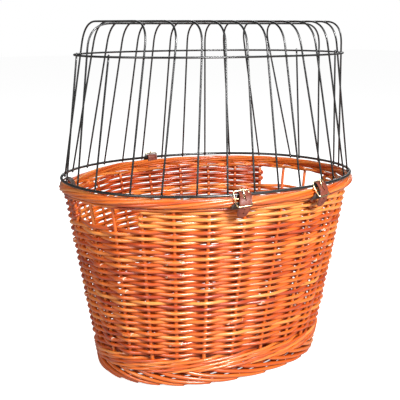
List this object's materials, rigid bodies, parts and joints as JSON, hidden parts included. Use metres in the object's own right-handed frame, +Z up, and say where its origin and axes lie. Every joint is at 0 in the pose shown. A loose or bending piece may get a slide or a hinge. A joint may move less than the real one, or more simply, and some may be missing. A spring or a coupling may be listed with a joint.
{
  "type": "wicker bicycle pet basket",
  "caption": "Oval willow basket with hand holes and a hinged black wire dome held to its rim by buckled leather straps, for carrying a small pet on a bicycle.",
  "frame": {"origin": "on the ground under the middle of the oval basket", "axes": "+X along the oval's long side, +Z up, -Y towards the two front straps, +Y towards the back strap the dome hinges on"},
  "size_m": [0.439, 0.3767, 0.4878],
  "materials": {
    "willow": "peeled and stained willow rods, satin varnish",
    "black_wire": "black plastic-coated steel wire, semi-gloss",
    "strap_leather": "reddish-brown strap leather, smooth grain side, stitched edges",
    "buckle_brass": "pale polished brass-plated wire"
  },
  "bodies": {
    "root": {"foot_border": "willow", "woven_base": "willow", "bottom_wale": "willow", "side_wall": "willow", "top_wale": "willow", "top_border": "willow", "left_handle_stake_1": "willow", "left_handle_stake_2": "willow", "right_handle_stake_1": "willow", "right_handle_stake_2": "willow", "left_end_strap": "strap_leather", "back_strap": "strap_leather", "back_buckle_frame": "buckle_brass", "back_buckle_bar": "buckle_brass", "front_left_strap_anchor": "strap_leather", "front_right_strap_anchor": "strap_leather"},
    "dome": {"lower_ring": "black_wire", "upper_ring": "black_wire", "cross_hoop_01": "black_wire", "cross_hoop_02": "black_wire", "cross_hoop_03": "black_wire", "cross_hoop_04": "black_wire", "cross_hoop_05": "black_wire", "cross_hoop_06": "black_wire", "cross_hoop_07": "black_wire", "cross_hoop_08": "black_wire", "cross_hoop_09": "black_wire", "cross_hoop_10": "black_wire", "cross_hoop_11": "black_wire", "cross_hoop_12": "black_wire", "long_hoop": "black_wire", "left_end_wire_1": "black_wire", "left_end_wire_2": "black_wire", "right_end_wire_1": "black_wire", "right_end_wire_2": "black_wire"},
    "front_left_strap": {"front_left_strap_tongue": "strap_leather", "front_left_buckle_frame": "buckle_brass", "front_left_buckle_bar": "buckle_brass"},
    "front_right_strap": {"front_right_strap_tongue": "strap_leather", "front_right_buckle_frame": "buckle_brass", "front_right_buckle_bar": "buckle_brass"},
    "front_left_prong": {"front_left_buckle_prong": "buckle_brass"},
    "front_right_prong": {"front_right_buckle_prong": "buckle_brass"},
    "back_prong": {"back_buckle_prong": "buckle_brass"}
  },
  "joints": [
    {"name": "dome_hinge", "type": "hinge", "parent": "root", "child": "dome", "pos_m": [0.01043, 0.17599, 0.272], "axis": [-0.9997, 0.0238, 0], "range_deg": [0, 105]},
    {"name": "front_left_strap_fold", "type": "hinge", "parent": "dome", "child": "front_left_strap", "pos_m": [-0.06642, -0.16501, 0.2705], "axis": [-0.9765, 0.2154, 0], "range_deg": [0, 110]},
    {"name": "front_right_strap_fold", "type": "hinge", "parent": "dome", "child": "front_right_strap", "pos_m": [0.05732, -0.16685, 0.2705], "axis": [-0.9836, -0.1802, 0], "range_deg": [0, 110]},
    {"name": "front_left_prong_lift", "type": "hinge", "parent": "front_left_strap", "child": "front_left_prong", "pos_m": [-0.06853, -0.17458, 0.2684], "axis": [0.9765, -0.2154, 0], "range_deg": [0, 75]},
    {"name": "front_right_prong_lift", "type": "hinge", "parent": "front_right_strap", "child": "front_right_prong", "pos_m": [0.05908, -0.17649, 0.2684], "axis": [0.9836, 0.1802, 0], "range_deg": [0, 75]},
    {"name": "back_prong_lift", "type": "hinge", "parent": "root", "child": "back_prong", "pos_m": [0.01056, 0.18128, 0.2684], "axis": [-0.9997, 0.0238, 0], "range_deg": [0, 75]}
  ]
}
